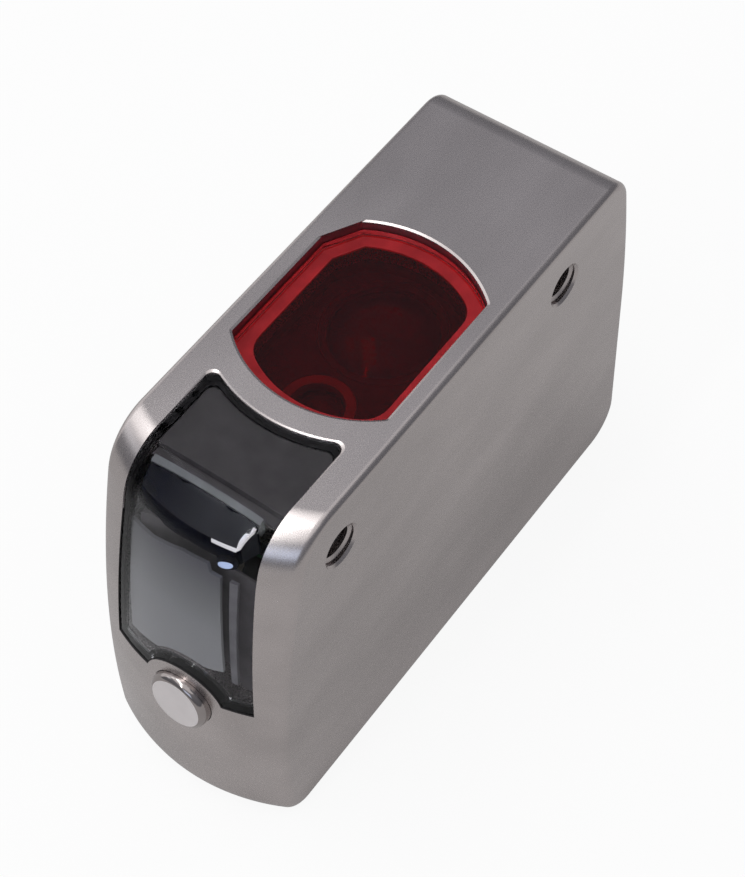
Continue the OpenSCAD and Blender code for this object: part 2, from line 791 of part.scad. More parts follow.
module laser_sleeve() {
    color([0.7, 0.6, 0.35]) translate([0, y_emitter, z_sleeve]) difference() {
        cylinder(d = sleeve_d, h = sleeve_len);
        translate([0, 0, -cut]) cylinder(r = emitter_lens_d / 2 - sleeve_step, h = sleeve_len + 2 * cut);
        translate([0, 0, z_emitter_lens - z_sleeve])
            cylinder(d = emitter_lens_d + 2 * seat_gap, h = sleeve_len);
        translate([0, 0, -cut]) cylinder(d = diode_d + 2 * seat_gap, h = diode_base_t + cut);
    }
}

module laser_diode() {
    can_r = emitter_lens_d / 2 - sleeve_step - free_gap / 2;
    color([0.8, 0.7, 0.4]) translate([0, y_emitter, z_sleeve]) {
        cylinder(d = diode_d, h = diode_base_t);
        cylinder(r = can_r, h = diode_base_t + can_h);
        for (a = [0, 120, 240]) rotate(a) translate([pin_off, 0, -pin_len])
            cylinder(d = pin_d, h = pin_len + diode_base_t / 2);
    }
}

module imager_board() {
    color([0.1, 0.35, 0.15]) block(imager_board_w, y_receiver - imager_board_w / 2,
        y_receiver + imager_board_w / 2, frame_z - board_t, frame_z);
}

module image_sensor() {
    color([0.15, 0.15, 0.2]) block(imager_w, y_receiver - imager_l / 2,
        y_receiver + imager_l / 2, frame_z, frame_z + imager_t);
}

module main_board() {
    color([0.1, 0.35, 0.15]) difference() {
        block(board_w, y_hole - board_lead, y_hole_2 + board_tail, board_z, board_z + board_t);
        at_legs() translate([0, 0, board_z - cut]) cylinder(d = screw_hole_d, h = board_t + 2 * cut);
    }
}

module board_chips() {
    y_chip = y_lens + leg_off + boss_d / 2 + free_gap;
    y_driver = y_receiver - free_gap;
    y_small = y_hole_2 + board_tail - free_gap;
    color([0.12, 0.12, 0.12]) translate([0, 0, board_z + board_t]) {
        block(chip_w, y_chip, y_chip + chip_w, 0, chip_t);
        block(chip_w, y_driver - chip_w, y_driver, 0, chip_t);
        for (side = [-1, 1]) translate([side * chip_off, 0, 0])
            block(small_chip_w, y_small - small_chip_w, y_small, 0, chip_t);
    }
}

module board_connector() {
    color([0.85, 0.82, 0.75]) block(imager_l, y_receiver, y_receiver + imager_w / 2,
        board_z + board_t, frame_z - board_t);
}

// Flat cable: down the back of the display board, round a bend, on to the main board
module ribbon_cable() {
    z_mid = board_z + board_t + ribbon_t / 2;
    bend_z = z_mid + ribbon_bend_r;
    depth = board_front + display_board_t + ribbon_t / 2;
    drop = (bend_z + ribbon_bend_r * sin(face_lean) - button_z + depth * sin(face_lean)) / cos(face_lean);
    bend_y = y_face + depth * cos(face_lean) + drop * sin(face_lean) + ribbon_bend_r * cos(face_lean);
    turn_from = 180 - face_lean;
    rise = -drop - display_board_low + ribbon_lap;
    up = [rise * sin(face_lean), rise * cos(face_lean)];
    r_out = ribbon_bend_r + ribbon_t / 2;
    r_in = ribbon_bend_r - ribbon_t / 2;
    outer = arc(bend_y, bend_z, r_out, turn_from, 270, 10);
    inner = arc(bend_y, bend_z, r_in, 270, turn_from, 10);
    color([0.75, 0.45, 0.15]) across(ribbon_w) polygon(concat(
        [outer[0] + up], outer, [[bend_y + ribbon_lap, bend_z - r_out], [bend_y + ribbon_lap, bend_z - r_in]],
        inner, [inner[10] + up]));
}

module screw() {
    translate([0, 0, -screw_head_t]) cylinder(d = screw_head_d, h = screw_head_t);
    cylinder(d = screw_d, h = screw_len);
}

module frame_screws() {
    color([0.6, 0.6, 0.62]) at_ears() translate([0, 0, z_ear - ear_t]) screw();
}

module board_screws() {
    color([0.6, 0.6, 0.62]) at_legs() translate([0, 0, board_z]) screw();
}

module at_gland() {
    translate([0, y_tail, gland_z]) rotate([-90, 0, 0]) children();
}

shank_len = end_wall + nut_t + gland_collar_t;
gland_face = washer_t + gland_collar_t;

module cable_gland() {
    color([0.62, 0.62, 0.64]) at_gland() difference() {
        union() {
            translate([0, 0, -shank_len]) cylinder(d = gland_shank_d, h = shank_len + gland_face);
            translate([0, 0, washer_t]) cylinder(d = gland_collar_d / cos(30), h = gland_collar_t, $fn = 6);
            translate([0, 0, gland_face])
                cylinder(d1 = gland_collar_d - seat_gap, d2 = gland_nose_d, h = gland_nose_len);
        }
        translate([0, 0, -shank_len - cut]) cylinder(d = gland_bore_d, h = shank_len + gland_proud + 2 * cut);
    }
}

module gland_washer() {
    color([0.1, 0.1, 0.1]) at_gland() difference() {
        cylinder(d = gland_collar_d, h = washer_t);
        translate([0, 0, -cut]) cylinder(d = gland_shank_d + 2 * seat_gap, h = washer_t + 2 * cut);
    }
}

module gland_nut() {
    color([0.62, 0.62, 0.64]) at_gland() translate([0, 0, -end_wall - nut_t]) difference() {
        cylinder(d = nut_af / cos(30), h = nut_t, $fn = 6);
        translate([0, 0, -cut]) cylinder(d = gland_shank_d + 2 * seat_gap, h = nut_t + 2 * cut);
    }
}

module cable_sleeve() {
    color([0.1, 0.1, 0.1]) at_gland() translate([0, 0, -shank_len]) difference() {
        cylinder(d = cable_d + 2 * sleeve_wall, h = shank_len + gland_proud);
        translate([0, 0, -cut]) cylinder(d = cable_d, h = shank_len + gland_proud + 2 * cut);
    }
}

housing();
rear_cover();
lens_window();
lens_seal();
display_window();
display_seal();
set_button();
button_ring();
switch_plunger();
tact_switch();
display_board();
display_diffuser();
segment_display();
display_shroud();
light_guide();
indicator_lamps();
optical_frame();
receiver_lens();
lens_retainer();
emitter_lens();
laser_sleeve();
laser_diode();
imager_board();
image_sensor();
main_board();
board_chips();
board_connector();
ribbon_cable();
frame_screws();
board_screws();
cable_gland();
gland_washer();
gland_nut();
cable_sleeve();
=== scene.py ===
import json
from math import acos, asin, atan2, cos, degrees, pi, radians, sin, sqrt

import bmesh
import bpy
from mathutils import Matrix, Vector


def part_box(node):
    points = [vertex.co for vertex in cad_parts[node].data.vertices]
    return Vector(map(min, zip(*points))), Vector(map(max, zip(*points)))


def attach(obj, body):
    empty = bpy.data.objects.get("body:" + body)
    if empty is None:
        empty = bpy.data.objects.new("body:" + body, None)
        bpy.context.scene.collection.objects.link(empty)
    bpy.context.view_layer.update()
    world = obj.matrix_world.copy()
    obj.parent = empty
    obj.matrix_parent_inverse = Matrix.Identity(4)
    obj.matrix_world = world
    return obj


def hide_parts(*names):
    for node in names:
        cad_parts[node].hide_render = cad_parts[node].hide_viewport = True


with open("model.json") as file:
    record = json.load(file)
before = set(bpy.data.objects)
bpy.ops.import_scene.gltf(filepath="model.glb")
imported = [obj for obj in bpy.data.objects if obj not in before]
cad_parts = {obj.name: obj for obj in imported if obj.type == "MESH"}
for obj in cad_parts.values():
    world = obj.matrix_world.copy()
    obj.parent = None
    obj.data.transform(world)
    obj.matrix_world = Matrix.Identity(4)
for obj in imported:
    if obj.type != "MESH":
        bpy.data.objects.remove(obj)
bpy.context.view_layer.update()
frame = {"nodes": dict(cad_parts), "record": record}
mm = 0.001

# Camera: a close view from the front right and above, down on the lens face and
# the display end, with the long mounting side running away to the right.
camera_data = bpy.data.cameras.new("camera")
camera_data.sensor_width = 36
camera_data.lens = 85.94
camera_data.clip_start = 10 * mm
camera_data.clip_end = 20
camera = bpy.data.objects.new("camera", camera_data)
bpy.context.scene.collection.objects.link(camera)
camera_right = Vector((0.8076, 0.5886, -0.0348))
camera_back = Vector((0.3619, -0.4483, 0.8174))
camera_up = camera_back.cross(camera_right)
camera_turn = Matrix((camera_right, camera_up, camera_back)).transposed().to_4x4()
camera_place = Vector((53.358, -66.539, 136.194)) * mm
camera.matrix_world = Matrix.Translation(camera_place) @ camera_turn
bpy.context.scene.camera = camera
bpy.context.scene.view_settings.view_transform = "Standard"


# Housing: one block of stainless steel, machined hollow and bead blasted to a fine
# satin. Its display end is bowed and leans back. The walls are cut for the two windows,
# the button, the fixing screws, the rear cover and the cable gland.
body_low, body_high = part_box("housing")
half_w = body_high.x
body_h = body_high.z
y_end = body_low.y
y_tail = body_high.y
bow_r = 15.5 * mm
lean_depth = 3.33 * mm
lean_z = 3 * mm
brow_r = 4.2 * mm
foot_r = 2 * mm
heel_r = 2.5 * mm
toe_r = 3 * mm
tail_depth = 0.8 * mm
tail_z = 15 * mm
edge_r = 0.5 * mm
# Points closer than a hair are one, and a cutter reaches past the steel by the spare.
hair = 0.001 * mm
spare = 1 * mm


def lean_radius(rise, depth):
    """The radius of an arc that starts upright and leans by a depth over a rise."""
    return (rise ** 2 + depth ** 2) / (2 * depth)


lean_rise = body_h - brow_r - lean_z
lean_r = lean_radius(lean_rise, lean_depth) + brow_r
lean_top = asin(lean_rise / (lean_r - brow_r))
y_brow = y_end + lean_depth + brow_r
tail_rise = body_h - heel_r - tail_z
tail_r = lean_radius(tail_rise, tail_depth) + heel_r
tail_top = asin(tail_rise / (tail_r - heel_r))
y_heel = y_tail - tail_depth - heel_r


def end_back(x, inset):
    """How far the bowed end lies behind its crown at x, for a form inset all round."""
    return bow_r - sqrt((bow_r - inset) ** 2 - x ** 2) - inset


def plane(origin, across, up):
    """A drawing plane in space: its origin, and the directions of its two axes."""
    across, up = Vector(across), Vector(up)
    turned = Matrix((across, up, across.cross(up))).transposed().to_4x4()
    return Matrix.Translation(Vector(origin)) @ turned


def draw_arcs(bm, lie, arcs):
    """Draws a closed outline in a plane. Each corner is a point turned about a centre u, v
    at a radius r, from a start to a stop in degrees, in steps: none for a sharp corner."""
    axis = lie.col[2].xyz
    first = last = None
    for u, v, r, start, stop, steps in arcs:
        a = radians(start)
        place = lie @ Vector((u + r * cos(a), v + r * sin(a), 0))
        if last is None or (last.co - place).length > hair:
            point = bm.verts.new(place)
            if last is not None:
                bm.edges.new((last, point))
            first = first or point
        else:
            point = last
        if steps:
            made = bmesh.ops.spin(
                bm, geom=[point], cent=lie @ Vector((u, v, 0)), axis=axis,
                angle=radians(stop - start), steps=steps,
            )
            point = next(g for g in made["geom_last"] if isinstance(g, bmesh.types.BMVert))
        last = point
    bm.edges.new((last, first))


def side_view(inset, set_back):
    """The corners of the body's side view, in Y and Z, with its display end set back."""
    lean = degrees(lean_top)
    tail = degrees(tail_top)
    return (
        (y_end + foot_r + set_back, foot_r, foot_r - inset, 270, 180, 10),
        (y_end + lean_r + set_back, lean_z, lean_r - inset, 180, 180 - lean, 24),
        (y_brow + set_back, body_h - brow_r, brow_r - inset, 180 - lean, 90, 18),
        (y_heel, body_h - heel_r, heel_r - inset, 90, tail, 12),
        (y_tail - tail_r, tail_z, tail_r - inset, tail, 0, 8),
        (y_tail - toe_r, toe_r, toe_r - inset, 0, -90, 10),
    )


def body_form(name, inset, columns=32):
    """The body's outer form, inset all round: the side view swept across along the bow."""
    bm = bmesh.new()
    reach = half_w - inset
    round_r = max(edge_r - inset, 0.1 * mm)
    inner = reach - round_r - 0.05 * mm
    places = [inner * (2 * i / columns - 1) for i in range(columns + 1)]
    places = [-reach, *places, reach]
    lie = plane((-reach, 0, 0), (0, 1, 0), (0, 0, 1))
    draw_arcs(bm, lie, side_view(inset, end_back(reach, inset)))
    ring = bm.edges[:]
    for x, next_x in zip(places, places[1:]):
        made = bmesh.ops.extrude_edge_only(bm, edges=ring)["geom"]
        points = [g for g in made if isinstance(g, bmesh.types.BMVert)]
        fresh = set(points)
        ring = [g for g in made if isinstance(g, bmesh.types.BMEdge) and set(g.verts) <= fresh]
        bmesh.ops.translate(bm, verts=points, vec=(next_x - x, 0, 0))
        shift = end_back(next_x, inset) - end_back(x, inset)
        bowed = [p for p in points if p.co.y < y_brow + 3 * mm]
        bmesh.ops.translate(bm, verts=bowed, vec=(0, shift, 0))
    bmesh.ops.holes_fill(bm, edges=bm.edges[:])
    rims = [e for e in bm.edges if all(abs(v.co.x) > reach - hair for v in e.verts)]
    bmesh.ops.bevel(
        bm, geom=rims, offset=round_r, segments=8, profile=0.5, affect="EDGES", material=-1
    )
    bmesh.ops.recalc_face_normals(bm, faces=bm.faces[:])
    return as_object(bm, name)


def as_object(bm, name):
    """Turns a finished bmesh into an object of that name."""
    mesh = bpy.data.meshes.new(name)
    bm.to_mesh(mesh)
    bm.free()
    made = bpy.data.objects.new(name, mesh)
    bpy.context.scene.collection.objects.link(made)
    return made


def carve(piece, tool, operation="DIFFERENCE"):
    """Cuts, joins or meets a piece with a tool, which is used up."""
    change = piece.modifiers.new("carve", "BOOLEAN")
    change.operation = operation
    change.solver = "EXACT"
    change.object = tool
    evaluated = piece.evaluated_get(bpy.context.evaluated_depsgraph_get())
    shaped = bpy.data.meshes.new_from_object(evaluated)
    piece.modifiers.clear()
    piece.data = shaped
    bpy.data.objects.remove(tool)
    return piece


def slab(name, low, high):
    """A straight-sided cutting block between two corners."""
    bm = bmesh.new()
    bmesh.ops.create_cube(bm, size=1)
    size = Vector(high) - Vector(low)
    bmesh.ops.scale(bm, verts=bm.verts[:], vec=size)
    bmesh.ops.translate(bm, verts=bm.verts[:], vec=(Vector(high) + Vector(low)) / 2)
    return as_object(bm, name)


def drill(name, centre, axis, depth, r1, r2=None, segments=64):
    """A round or tapered cutter about an axis, centred on a point, wide end r1 first."""
    bm = bmesh.new()
    lie = Vector((0, 0, 1)).rotation_difference(Vector(axis)).to_matrix().to_4x4()
    bmesh.ops.create_cone(
        bm, cap_ends=True, segments=segments, radius1=r1, radius2=r1 if r2 is None else r2,
        depth=depth, matrix=Matrix.Translation(Vector(centre)) @ lie,
    )
    return as_object(bm, name)


def prism(name, lie, arcs, direction):
    """A solid with a drawn outline, extruded along a direction."""
    bm = bmesh.new()
    draw_arcs(bm, lie, arcs)
    bmesh.ops.contextual_create(bm, geom=bm.edges[:])
    made = bmesh.ops.extrude_face_region(bm, geom=bm.faces[:])["geom"]
    points = [g for g in made if isinstance(g, bmesh.types.BMVert)]
    bmesh.ops.translate(bm, verts=points, vec=direction)
    bmesh.ops.recalc_face_normals(bm, faces=bm.faces[:])
    return as_object(bm, name)


def flared(name, lie, low_arcs, high_arcs, rise):
    """A solid that widens from one drawn outline to the like outline above it."""
    bm = bmesh.new()
    draw_arcs(bm, lie, low_arcs)
    draw_arcs(bm, lie @ Matrix.Translation((0, 0, rise)), high_arcs)
    bmesh.ops.bridge_loops(bm, edges=bm.edges[:])
    bmesh.ops.holes_fill(bm, edges=bm.edges[:])
    bmesh.ops.recalc_face_normals(bm, faces=bm.faces[:])
    return as_object(bm, name)


side_wall = 1.2 * mm
end_wall = 1.2 * mm
front_wall = 2 * mm
back_wall = 2.2 * mm
tube_r = 2.4 * mm
mounts = {mount["name"]: mount for mount in frame["record"]["mounts"]}
hole_place = Vector(mounts["mount_holes"]["pos_m"])
hole_pitch = mounts["mount_holes"]["dims"]["spacing_x_mm"] * mm
hole_core_r = mounts["mount_holes"]["dims"]["hole_r_mm"] * mm
hole_thread_r = 1.5 * mm
hole_mouth_r = 1.68 * mm
y_lens = hole_place.y
z_hole = hole_place.z
hole_ys = (y_lens - hole_pitch / 2, y_lens + hole_pitch / 2)

lens_w = 12.4 * mm
lens_len = 15.9 * mm
lens_arc_r = 9.3 * mm
lens_recess = 0.7 * mm
lens_window_t = 1.2 * mm
lens_seal_t = 0.15 * mm
lens_ledge = 1 * mm
lens_inner_r = 2 * mm
lens_cut = 4.1 * mm
lens_cut_angle = 60
z_lens_back = body_h - lens_recess - lens_window_t
z_ledge = z_lens_back - lens_seal_t
z_collar = z_ledge - 1.2 * mm
collar_wall = 0.6 * mm


def lens_outline(grow, corner_r=0.3 * mm, cut_share=1):
    """The lens opening in plan: straight sides, bowed ends and one cut corner."""
    half = lens_w / 2 + grow
    arc_r = lens_arc_r + grow
    off = lens_len / 2 - lens_arc_r
    side = half - corner_r
    rise = sqrt((arc_r - corner_r) ** 2 - side ** 2)
    turn = degrees(atan2(rise, side))
    cut = radians(lens_cut_angle)
    along = cos(cut)
    away = -sin(cut)
    from_centre = cut_share * grow + away * (-lens_w / 2) + along * (lens_cut - off)
    cut_turn = lens_cut_angle + 90 - degrees(acos(from_centre / arc_r))
    cut_y = lens_cut + grow * (cut_share - sin(cut)) / cos(cut)
    return (
        (side, off + rise, corner_r, 0, turn, 5),
        (0, off, arc_r, turn, cut_turn, 48),
        (-half, cut_y, 0, 0, 0, 0),
        (-side, -off - rise, corner_r, 180, 180 + turn, 5),
        (0, -off, arc_r, 180 + turn, 360 - turn, 56),
        (side, -off - rise, corner_r, 360 - turn, 360, 5),
    )


def lens_plate(name, grow, z_from, z_to, corner_r=0.3 * mm):
    """A plate with the lens opening's outline."""
    lie = plane((0, y_lens, z_from), (1, 0, 0), (0, 1, 0))
    return prism(name, lie, lens_outline(grow, corner_r), (0, 0, z_to - z_from))


display_w = 10.7 * mm
display_foot_w = 11.6 * mm
display_z = 13.4 * mm
display_corner_r = 0.6 * mm
display_recess = 0.1 * mm
display_window_t = 0.8 * mm
display_floor = display_recess + display_window_t + 0.1 * mm
display_ledge = 0.3 * mm
band_w = 1.85 * mm
band_y = y_lens - lens_len / 2 + lens_arc_r
band_r = lens_arc_r + band_w
y_inner = hole_ys[0] - tube_r - 0.3 * mm
button_x = 0.5 * mm
button_z = 12.4 * mm
button_rim_r = 3.22 * mm


def display_outline(grow, y_front, front_half):
    """The display window in plan: hollow round the lens opening, with rounded corners."""
    corner_r = display_corner_r
    arc_r = band_r - grow
    side = display_w / 2 + grow - corner_r
    rise = sqrt((arc_r + corner_r) ** 2 - side ** 2)
    turn = degrees(atan2(rise, -side))
    return (
        (side, band_y - rise, corner_r, 0, turn, 12),
        (0, band_y, arc_r, turn - 180, -turn, 48),
        (-side, band_y - rise, corner_r, 180 - turn, 180, 12),
        (-front_half, y_front, 0, 0, 0, 0),
        (front_half, y_front, 0, 0, 0, 0),
    )


def display_tool(name, grow):
    """The space of the display window, cut down from the lens face and in from the end."""
    half = display_w / 2 + grow
    foot = display_foot_w / 2 + grow
    y_out = y_end - 2 * mm
    z_low = body_h - brow_r
    from_above = prism(
        name, plane((0, 0, z_low), (1, 0, 0), (0, 1, 0)), display_outline(grow, y_out, half),
        (0, 0, brow_r + spare),
    )
    z_foot = display_z - grow
    rim_r = button_rim_r - grow
    rim = degrees(acos((z_foot - button_z) / rim_r))
    from_end = prism(
        name + "_end", plane((0, y_out, 0), (1, 0, 0), (0, 0, 1)), (
            (foot, z_foot, 0, 0, 0, 0),
            (half, z_low, 0, 0, 0, 0),
            (half, body_h + spare, 0, 0, 0, 0),
            (-half, body_h + spare, 0, 0, 0, 0),
            (-half, z_low, 0, 0, 0, 0),
            (-foot, z_foot, 0, 0, 0, 0),
            (button_x, button_z, rim_r, 90 + rim, 90 - rim, 40),
        ), (0, y_inner - y_out, 0),
    )
    return carve(from_above, from_end, "UNION")


face_lean = radians(9)
button_in = Vector((0, cos(face_lean), -sin(face_lean)))
button_lean = lean_r - sqrt(lean_r ** 2 - (button_z - lean_z) ** 2)
button_place = Vector((button_x, y_end + end_back(button_x, 0) + button_lean, button_z))
button_r = 2.33 * mm
button_gap = 0.04 * mm
gland_place = Vector((0, y_tail, mounts["cable_entry"]["pos_m"][2]))
gland_hole_r = 3.05 * mm

housing = body_form("housing_body", 0)

room_half = half_w - side_wall
room = prism(
    "room", plane((-room_half, 0, 0), (0, 1, 0), (0, 0, 1)),
    side_view(end_wall, end_back(room_half, 0)), (2 * room_half, 0, 0),
)
room_slab = slab(
    "room_slab", (-half_w, y_end, back_wall), (half_w, y_tail, body_h - front_wall)
)
carve(housing, carve(room, room_slab, "INTERSECT"))
for y in hole_ys:
    tube = drill("tube", (0, y, z_hole), (1, 0, 0), 2 * room_half + 0.6 * mm, tube_r)
    carve(housing, tube, "UNION")
collar = lens_plate("collar", collar_wall, z_collar, body_h - front_wall + 0.5 * mm)
carve(housing, collar, "UNION")
carve(housing, lens_plate("lens_pocket", 0, z_ledge, body_h + spare))
lens_opening = lens_plate("lens_opening", -lens_ledge, z_collar - spare, body_h, lens_inner_r)
carve(housing, lens_opening)
display_pocket = carve(display_tool("display_pocket", 0), body_form("floor_form", display_floor))
carve(housing, display_pocket)
display_opening = carve(
    display_tool("display_opening", -display_ledge),
    slab("below", (-half_w, y_tail, -spare), (half_w, y_tail + spare, 0)),
)
carve(housing, display_opening)
carve(housing, drill("button_bore", button_place, button_in, 8 * mm, button_r + button_gap))
cone_t = hole_mouth_r - hole_thread_r
cone_spare = 0.5 * mm
for y in hole_ys:
    carve(housing, drill("hole", (0, y, z_hole), (1, 0, 0), 18 * mm, hole_thread_r))
    for side in (1, -1):
        mouth = drill(
            "mouth", (side * (half_w - cone_t / 2 + cone_spare / 2), y, z_hole), (-side, 0, 0),
            cone_t + cone_spare, hole_mouth_r + cone_spare, hole_thread_r,
        )
        carve(housing, mouth)
cover_low, cover_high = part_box("rear_cover")
seat_gap = 0.05 * mm
cover_corner_r = 1.5 * mm
cover_ledge = 0.7 * mm


def cover_plate(name, grow, z_from, z_to):
    """A plate with the rear cover's outline, round at its corners."""
    reach = Vector((grow, grow, 0))
    low = Vector((cover_low.x, cover_low.y, z_from)) - reach
    high = Vector((cover_high.x, cover_high.y, z_to)) + reach
    plate = slab(name, low, high)
    bm = bmesh.new()
    bm.from_mesh(plate.data)
    upright = [e for e in bm.edges if (e.verts[0].co - e.verts[1].co).xy.length < hair]
    bmesh.ops.bevel(
        bm, geom=upright, offset=cover_corner_r + grow, segments=8, profile=0.5,
        affect="EDGES", material=-1,
    )
    bm.to_mesh(plate.data)
    bm.free()
    return plate


carve(housing, cover_plate("cover_pocket", seat_gap, -spare, cover_high.z))
carve(housing, cover_plate("cover_opening", -cover_ledge, -spare, back_wall + spare))
carve(housing, drill("gland_hole", gland_place, (0, 1, 0), 4 * mm, gland_hole_r))

lens_break = 0.08 * mm
display_break = 0.06 * mm
break_rise = 1.5
break_flare = 2 * break_rise
carve(housing, flared(
    "lens_edge", plane((0, y_lens, body_h - lens_break), (1, 0, 0), (0, 1, 0)),
    lens_outline(0), lens_outline(break_flare * lens_break, cut_share=0.1),
    break_rise * lens_break,
))
y_taper = y_brow + 0.3 * mm
carve(housing, flared(
    "display_edge", plane((0, 0, body_h - display_break), (1, 0, 0), (0, 1, 0)),
    display_outline(0, y_taper, display_w / 2),
    display_outline(break_flare * display_break, y_taper, display_w / 2),
    break_rise * display_break,
))

thread_pitch = 0.5 * mm
thread_turns = 30
thread_steps = 32
half_run = thread_pitch * thread_turns / 2
groove, flank, crest = thread_pitch / 8, 5 * thread_pitch / 16, thread_pitch / 4
thread_profile = (
    (0, hole_thread_r), (groove, hole_thread_r), (groove + flank, hole_core_r),
    (groove + flank + crest, hole_core_r), (thread_pitch, hole_thread_r),
)
bm = bmesh.new()
bm.from_mesh(housing.data)
for y in hole_ys:
    points = [bm.verts.new((x - half_run, y, z_hole + r)) for x, r in thread_profile]
    edges = [bm.edges.new(pair) for pair in zip(points, points[1:])]
    bmesh.ops.spin(
        bm, geom=points + edges, cent=(0, y, z_hole), axis=(1, 0, 0),
        dvec=(thread_pitch / thread_steps, 0, 0), angle=2 * pi * (thread_turns - 1),
        steps=thread_steps * (thread_turns - 1),
    )
    for v in bm.verts:
        out = Vector((0, v.co.y - y, v.co.z - z_hole))
        if hole_core_r - hair < out.length < hole_thread_r + hair:
            mouth_r = hole_mouth_r - (half_w - abs(v.co.x))
            wanted = min(max(out.length, mouth_r), hole_thread_r)
            v.co += out.normalized() * (wanted - out.length)
bm.to_mesh(housing.data)
bm.free()


def finish_mesh(piece, angle=28):
    """Smooths the curved faces and leaves the flat faces flat, with crisp edges between."""
    piece.data.shade_smooth()
    piece.data.set_sharp_from_angle(angle=radians(angle))
    level = piece.modifiers.new("level", "WEIGHTED_NORMAL")
    level.keep_sharp = True
    return piece


def new_material(name):
    """An empty material with its nodes, its links and its main shader."""
    made = bpy.data.materials.new(name)
    made.use_nodes = True
    nodes = made.node_tree.nodes
    return made, nodes, made.node_tree.links, nodes["Principled BSDF"]


def noise(nodes, links, scale, detail, stretch=(1, 1, 1)):
    """A cloudy pattern on the piece's own coordinates, drawn out along an axis by stretch."""
    place = nodes.new("ShaderNodeTexCoord")
    mapping = nodes.new("ShaderNodeMapping")
    mapping.inputs["Scale"].default_value = stretch
    pattern = nodes.new("ShaderNodeTexNoise")
    pattern.inputs["Scale"].default_value = scale
    pattern.inputs["Detail"].default_value = detail
    links.new(place.outputs["Object"], mapping.inputs["Vector"])
    links.new(mapping.outputs["Vector"], pattern.inputs["Vector"])
    return pattern.outputs["Fac"]


def ramp(nodes, links, source, stops):
    """Turns a pattern into colours, or greys for roughness, between the given stops."""
    made = nodes.new("ShaderNodeValToRGB")
    made.color_ramp.elements[0].position = stops[0][0]
    made.color_ramp.elements[1].position = stops[-1][0]
    made.color_ramp.elements[0].color = (*stops[0][1], 1)
    made.color_ramp.elements[1].color = (*stops[-1][1], 1)
    for position, colour in stops[1:-1]:
        made.color_ramp.elements.new(position).color = (*colour, 1)
    links.new(source, made.inputs["Fac"])
    return made.outputs["Color"]


def bump(nodes, links, source, height, strength, shader):
    """Raises the surface by a pattern, to a real height in metres."""
    made = nodes.new("ShaderNodeBump")
    made.inputs["Strength"].default_value = strength
    made.inputs["Distance"].default_value = height
    links.new(source, made.inputs["Height"])
    links.new(made.outputs["Normal"], shader.inputs["Normal"])


def steel(name, colour, roughness, grain=1.0):
    """Blasted steel: a fine grain all over, and faint cloudy streaks from handling."""
    made, nodes, links, shader = new_material(name)
    shader.inputs["Metallic"].default_value = 1
    clouds = noise(nodes, links, 160, 4, (1, 0.45, 1))
    dark = tuple(c * 0.91 for c in colour)
    light = tuple(min(c * 1.07, 1) for c in colour)
    tones = ramp(nodes, links, clouds, ((0.35, dark), (0.68, light)))
    links.new(tones, shader.inputs["Base Color"])
    fine = noise(nodes, links, 9000, 3)
    low, high = roughness - 0.02, roughness + 0.03
    links.new(
        ramp(nodes, links, fine, ((0.3, (low,) * 3), (0.7, (high,) * 3))),
        shader.inputs["Roughness"],
    )
    bump(nodes, links, fine, 0.0014 * mm, 0.2 * grain, shader)
    return made


satin_steel = steel("satin_steel", (0.54, 0.49, 0.48), 0.27)
housing.data.materials.clear()
housing.data.materials.append(satin_steel)
housing.data.materials.append(steel("recess_steel_painted_shade", (0.3, 0.24, 0.28), 0.4, 0.3))
# The deep walls of the lens pocket are duller than the blasted faces, and their steel is painted
# darker as painted shade.
for face in housing.data.polygons:
    x, y, z = face.center
    upright = z_ledge < z < body_h - lens_break and abs(face.normal.z) < 0.1
    near_x = abs(x) < lens_w / 2 + 10 * hair
    near_y = abs(y - y_lens) < lens_len / 2 + 10 * hair
    if upright and near_x and near_y:
        face.material_index = 1
finish_mesh(housing, 13)
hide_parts("housing")
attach(housing, "sensor")


def dress(node, material):
    """Gives a solid of the frame its material."""
    solid = frame["nodes"][node]
    solid.data.materials.clear()
    solid.data.materials.append(material)


# Rear cover: a thin plate of the same steel, let into the open back and laser welded
# flush all round.
dress("rear_cover", satin_steel)


# Display window: one moulded shell of smoked clear plastic, bent round the brow of the
# body and bonded flush into its opening. The black bond shows as a dark frame, and it
# coats the walls of the opening too.
def plastic(name, colour, roughness, grain_height=0.0, gloss=0.5):
    """Moulded plastic, with the faint texture of its mould."""
    made, nodes, links, shader = new_material(name)
    clouds = noise(nodes, links, 700, 3)
    dark = tuple(c * 0.85 for c in colour)
    light = tuple(min(c * 1.15, 1) for c in colour)
    tones = ramp(nodes, links, clouds, ((0.3, dark), (0.7, light)))
    links.new(tones, shader.inputs["Base Color"])
    shader.inputs["Roughness"].default_value = roughness
    shader.inputs["Specular IOR Level"].default_value = gloss
    if grain_height:
        bump(nodes, links, noise(nodes, links, 6000, 2), grain_height, 0.4, shader)
    return made


def clear(name, colour, ior, roughness=0.02, gloss=1):
    """Clear coloured plastic or glass, polished, a little duller in faint patches."""
    made, nodes, links, shader = new_material(name)
    shader.inputs["Base Color"].default_value = (*colour, 1)
    patches = ((0.4, (roughness / 2,) * 3), (0.8, (roughness * 1.5,) * 3))
    links.new(
        ramp(nodes, links, noise(nodes, links, 150, 3), patches), shader.inputs["Roughness"]
    )
    shader.inputs["IOR"].default_value = ior
    shader.inputs["Specular Tint"].default_value = (gloss, gloss, gloss, 1)
    shader.inputs["Transmission Weight"].default_value = 1
    return made


window = display_tool("display_glass", -seat_gap)
carve(window, body_form("skin", display_recess), "INTERSECT")
carve(window, body_form("back_skin", display_recess + display_window_t))
smoked = clear("smoked_window", (0.52, 0.52, 0.54), 1.25, gloss=0.2)
window.data.materials.clear()
window.data.materials.append(smoked)
finish_mesh(window)
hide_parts("display_window")
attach(window, "sensor")

